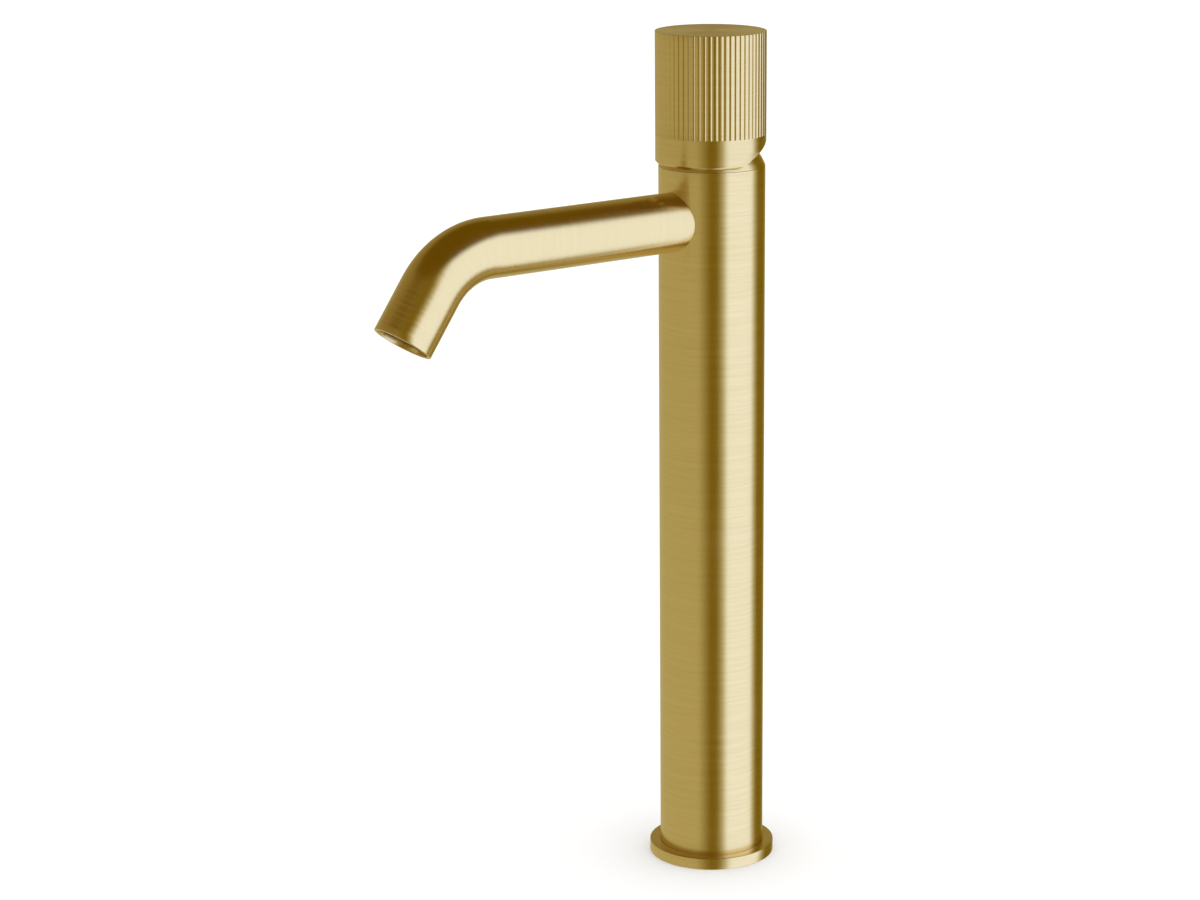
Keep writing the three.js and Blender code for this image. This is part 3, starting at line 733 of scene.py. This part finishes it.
@dataclass
class ScrewPlug:
    """The small cap over the grub screw's hole at the back of the knob."""

    edge: float = 0.25 * MM

    def build(self) -> None:
        """Builds the cap along Y, a little domed."""
        low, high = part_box("grub_hole_plug")
        radius, length = (high[0] - low[0]) / 2, high[1] - low[1]
        shell = Shell()
        shell.turn(filleted([Corner(0, 0), Corner(radius, 0), Corner(radius, length, self.edge),
                             Corner(radius * 0.5, length), Corner(0, length)]), around(48))
        middle = Matrix.Translation((0, low[1], (low[2] + high[2]) / 2))
        place = middle @ Matrix.Rotation(-math.pi / 2, 4, "X")
        bmesh.ops.transform(shell.mesh, matrix=place, verts=shell.mesh.verts)
        install(shell.piece("screw_cap", GOLD_LIP), Body.LEVER, GOLD_LIP, "grub_hole_plug")


# ------------------------------------------------------------------ spout


@dataclass
class Spout:
    """The bent spout tube with its coped root and open mouth."""

    wall: float = 1.5 * MM
    straight: float = 115 * MM
    bend_radius: float = 33.4 * MM
    bend: float = math.radians(55)
    leg: float = 23.8 * MM
    lip: float = 0.2 * MM
    gap: float = 0.15 * MM
    segments: int = 128
    height: float = 0.0
    radius: float = 0.0

    def __post_init__(self) -> None:
        """Reads the spout's radius and height from the frame."""
        low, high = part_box("spout_tube")
        self.radius = (high[0] - low[0]) / 2
        self.height = high[2] - self.radius

    def station(self, travel: float) -> tuple[Vector, Vector]:
        """Returns the centre line's point and direction at a distance along it."""
        bent = self.bend_radius * self.bend
        turn = min(max((travel - self.straight) / self.bend_radius, 0.0), self.bend)
        run = min(travel, self.straight) + self.bend_radius * math.sin(turn)
        drop = self.bend_radius * (1 - math.cos(turn))
        beyond = max(travel - self.straight - bent, 0.0)
        direction = Vector((0, -math.cos(turn), -math.sin(turn)))
        return Vector((0, -run, self.height - drop)) + direction * beyond, direction

    @property
    def length(self) -> float:
        """Distance from the column's axis to the mouth along the centre line."""
        return self.straight + self.bend_radius * self.bend + self.leg

    def row(self, shell: Shell, radius: float, travel: float) -> list[bmesh.types.BMVert]:
        """Adds one ring of vertices square to the centre line."""
        centre, direction = self.station(travel)
        side, up = Vector((1, 0, 0)), Vector((1, 0, 0)).cross(direction)
        row = []
        for angle in around(self.segments):
            x, y = radius * math.cos(angle), radius * math.sin(angle)
            row.append(shell.vertex(centre + side * x + up * y, (x, y, travel)))
        return row

    def coped_row(self, shell: Shell, radius: float, column: float) -> list[bmesh.types.BMVert]:
        """Adds the ring at the root, which follows the column's surface."""
        row = []
        for angle in around(self.segments):
            x, z = radius * math.cos(angle), radius * math.sin(angle)
            y = math.sqrt(column ** 2 - x ** 2)
            row.append(shell.vertex((x, -y, self.height - z), (x, z, y)))
        return row

    def build(self) -> None:
        """Builds the tube, outside and inside, as one closed skin."""
        shell = Shell()
        column = radius_of("body_column") + self.gap
        bore = self.radius - self.wall
        straight = [column + 1 * MM + (self.straight - column - 1 * MM) * step / 24 for step in range(25)]
        bent = [self.straight + self.bend_radius * self.bend * step / 40 for step in range(1, 41)]
        leg = [bent[-1] + (self.length - self.lip - bent[-1]) * step / 8 for step in range(1, 9)]
        path = straight + bent + leg
        rows = [self.coped_row(shell, self.radius, column)]
        rows += [self.row(shell, self.radius, travel) for travel in path]
        for step in (1, 2, 3):
            turn = math.pi / 2 * step / 3
            rows.append(self.row(shell, self.radius - self.lip * (1 - math.cos(turn)),
                                 self.length - self.lip * (1 - math.sin(turn))))
        for step in (0, 1, 2, 3):
            turn = math.pi / 2 * step / 3
            rows.append(self.row(shell, bore + self.lip * (1 - math.sin(turn)),
                                 self.length - self.lip * (1 - math.cos(turn))))
        rows += [self.row(shell, bore, travel) for travel in reversed(path)]
        rows.append(self.coped_row(shell, bore, column))
        shell.grid(rows)
        install(shell.piece("spout_bent_tube", GOLD_TUBE), Body.FIXED, GOLD_TUBE, "spout_tube")


@dataclass
class Aerator:
    """The insert in the spout's mouth: a lipped ring around a honeycomb screen."""

    recess: float = 3.0 * MM
    radius: float = 10.7 * MM
    wall: float = 1.6 * MM
    length: float = 8.0 * MM
    lip: float = 0.8 * MM
    cell: float = 1.25 * MM
    web: float = 0.16 * MM
    screen: float = 2.0 * MM
    rim: float = 0.5 * MM
    step: float = 1 * MM

    def frame_at(self, spout: Spout) -> Matrix:
        """Returns the matrix that sets +Z up the spout from its mouth."""
        mouth, direction = spout.station(spout.length)
        upward = -direction
        side = Vector((1, 0, 0))
        return Matrix.Translation(mouth) @ Matrix((side, upward.cross(side), upward)).transposed().to_4x4()

    def build(self, spout: Spout) -> None:
        """Builds the ring and the screen inside the spout's mouth."""
        place = self.frame_at(spout)
        inner = self.radius - self.wall
        foot, top = self.recess, self.recess + self.length
        ring = Shell()
        ring.turn(filleted([
            Corner(inner - self.lip, foot, 0.15 * MM), Corner(self.radius, foot, 0.25 * MM),
            Corner(self.radius, top, 0.2 * MM), Corner(inner, top, 0.2 * MM),
            Corner(inner, foot + self.step), Corner(inner - self.lip, foot + self.step, 0.15 * MM),
        ]), around(96))
        bmesh.ops.transform(ring.mesh, matrix=place, verts=ring.mesh.verts)
        install(ring.piece("aerator_ring", GREY), Body.FIXED, GREY, "aerator_housing")
        self.honeycomb(place, inner - 0.3 * MM, foot + 1.2 * MM)

    def honeycomb(self, place: Matrix, radius: float, foot: float) -> None:
        """Builds the screen as open six-sided cells inside a rim.

        Args:
            place: The mouth's matrix.
            radius: Radius of the screen's rim.
            foot: Height of its lower face above the mouth.
        """
        shell = Shell()
        top, inner = foot + self.screen, radius - self.rim
        shell.turn([Corner(inner, foot), Corner(radius, foot), Corner(radius, top), Corner(inner, top)],
                   around(96))
        rise, across = self.cell * math.sqrt(3) / 2, self.cell
        reach = int(radius / rise) + 2
        for row in range(-reach, reach + 1):
            for column in range(-reach, reach + 1):
                x, y = (column + 0.5 * (row % 2)) * across, row * rise
                if math.hypot(x, y) < radius - 0.8 * self.cell:
                    self.cell_walls(shell, x, y, foot)
        bmesh.ops.transform(shell.mesh, matrix=place, verts=shell.mesh.verts)
        install(shell.piece("aerator_honeycomb", STEEL), Body.FIXED, STEEL, "aerator_screen")

    def cell_walls(self, shell: Shell, x: float, y: float, foot: float) -> None:
        """Adds one closed six-sided ring of wall."""
        outer, top = self.cell / math.sqrt(3), foot + self.screen
        inner = outer - self.web
        corners = [math.pi / 6 + math.pi / 3 * corner for corner in range(6)]
        rows = []
        for radius, height in ((outer, foot), (outer, top), (inner, top), (inner, foot)):
            places = [(x + radius * math.cos(a), y + radius * math.sin(a), height) for a in corners]
            rows.append([shell.vertex(place, (x, y, height)) for place in places])
        shell.grid(rows)


# ------------------------------------------------------------------ studio


@dataclass
class Studio:
    """The pale floor, the soft light all round and the camera."""

    azimuth: float = 51.363
    turn: float = 51.487
    distance: float = 1.3
    height: float = 0.5115
    pitch: float = 14.238
    lens: float = 93.728
    shift: float = -0.08759
    floor_size: float = 30.0
    fill: tuple[float, float, float] = (0.508, 0.458, 0.25)
    shade: tuple[float, float, float] = (0.205, 0.14, 0.006)
    panel: tuple[float, float, float] = (0.99, 1.10, 1.42)
    warm: tuple[float, float, float] = (0.50, 0.46, 0.26)
    ceiling: tuple[float, float, float] = (0.27, 0.20, 0.06)
    zenith: tuple[float, float, float] = (0.14, 0.08, 0.002)
    fade: Point = (-0.45, 0.6)
    panel_top: Point = (0.55, 0.77)
    even: float = 1.22

    def build(self) -> None:
        """Builds the studio."""
        self.floor()
        self.light()
        self.camera()

    def floor(self) -> None:
        """Lays a plain pale floor that the metal doesn't mirror."""
        mesh = bpy.data.meshes.new("floor")
        half = self.floor_size / 2
        corners = [(-half, -half, 0), (half, -half, 0), (half, half, 0), (-half, half, 0)]
        mesh.from_pydata(corners, [], [(0, 1, 2, 3)])
        material = bpy.data.materials.new("pale_floor")
        material.use_nodes = True
        principled(Graph(material.node_tree), Base_Color=(0.95, 0.95, 0.95, 1.0), Roughness=0.9)
        mesh.materials.append(material)
        floor = bpy.data.objects.new("floor", mesh)
        bpy.context.scene.collection.objects.link(floor)
        floor.visible_glossy = False
        floor.visible_shadow = False

    def light(self) -> None:
        """Surrounds the object with one broad bright panel, two dark gaps and an even fill."""
        world = bpy.data.worlds.new("soft_studio")
        bpy.context.scene.world = world
        world.use_nodes = True
        world.cycles.sampling_method = "NONE"
        graph = Graph(world.node_tree)
        ray = graph.node("ShaderNodeLightPath")
        direction = graph.wire(graph.node("ShaderNodeTexCoord"), "Generated")
        split = graph.node("ShaderNodeSeparateXYZ", None, {"Vector": direction})
        heading = graph.wire(split, "Y").angle_of(graph.wire(split, "X")) * (1 / (2 * math.pi)) + 0.5
        level = graph.node("ShaderNodeValToRGB", {"stops": self.stops(self.fill)}, {"Fac": heading})
        upper = graph.node("ShaderNodeValToRGB", {"stops": self.stops(self.ceiling)}, {"Fac": heading})
        above = graph.wire(split, "Z").ramp(*self.fade)
        sides = graph.blend(above, graph.wire(level, "Color"), graph.wire(upper, "Color"))
        overhead = graph.wire(split, "Z").ramp(*self.panel_top)
        colour = graph.blend(overhead, sides, (*self.zenith, 1.0))
        room = graph.node("ShaderNodeBackground", None, {"Color": colour, "Strength": 1.0})
        even = graph.node("ShaderNodeBackground", None, {"Color": (1, 1, 1, 1), "Strength": self.even})
        mixed = graph.node("ShaderNodeMixShader", None,
                           {0: ray.outputs["Is Glossy Ray"], 1: even.outputs[0], 2: room.outputs[0]})
        graph.node("ShaderNodeOutputWorld", None, {"Surface": mixed.outputs[0]})

    def stops(self, fill: tuple[float, float, float]) -> list[tuple[float, tuple[float, float, float]]]:
        """Colours by heading round the room, with headings counted from the camera's side.

        Args:
            fill: Colour of the long even part behind and to the left.

        Returns:
            Pairs of position and colour, in order.
        """
        toward = self.azimuth - 90
        bands = [
            (-179, fill), (-30, fill), (-3, self.shade), (12, self.shade), (25, self.warm),
            (36, self.panel), (95, self.panel), (106, self.warm), (118, self.shade), (148, self.shade),
            (172, fill),
        ]
        turned = [(((heading + toward + 180) % 360) / 360, colour) for heading, colour in bands]
        return sorted(turned)

    def camera(self) -> None:
        """Places the camera in front and above, looking slightly down."""
        data = bpy.data.cameras.new("camera")
        data.lens, data.shift_x, data.clip_end = self.lens, self.shift, 60.0
        made = bpy.data.objects.new("camera", data)
        heading = math.radians(self.azimuth)
        made.location = (self.distance * math.sin(heading), -self.distance * math.cos(heading), self.height)
        made.rotation_euler = (math.radians(90 - self.pitch), 0, math.radians(self.turn))
        bpy.context.scene.collection.objects.link(made)
        bpy.context.scene.camera = made
        bpy.context.scene.view_settings.view_transform = "Standard"


# ------------------------------------------------------------------ hidden works


def dress_inside() -> None:
    """Gives every solid that stays its finish, by the slot that the record names."""
    slots = {part["node"]: part["material_slot"] for part in frame["record"]["subparts"]}
    for name, node in frame["nodes"].items():
        if slots[name] in INSIDE:
            node.data.materials.clear()
            node.data.materials.append(INSIDE[slots[name]].material())
            LOG.info("%s: %s", name, slots[name])


def main() -> None:
    """Builds the mixer's looks in order; each piece's face count goes to the log."""
    logging.basicConfig(level=logging.INFO, format="%(message)s")
    Studio().build()
    dress_inside()
    Column().build()
    Dome().build()
    Knob().build()
    ScrewPlug().build()
    spout = Spout()
    spout.build()
    Aerator().build(spout)


if __name__ == "__main__":
    main()
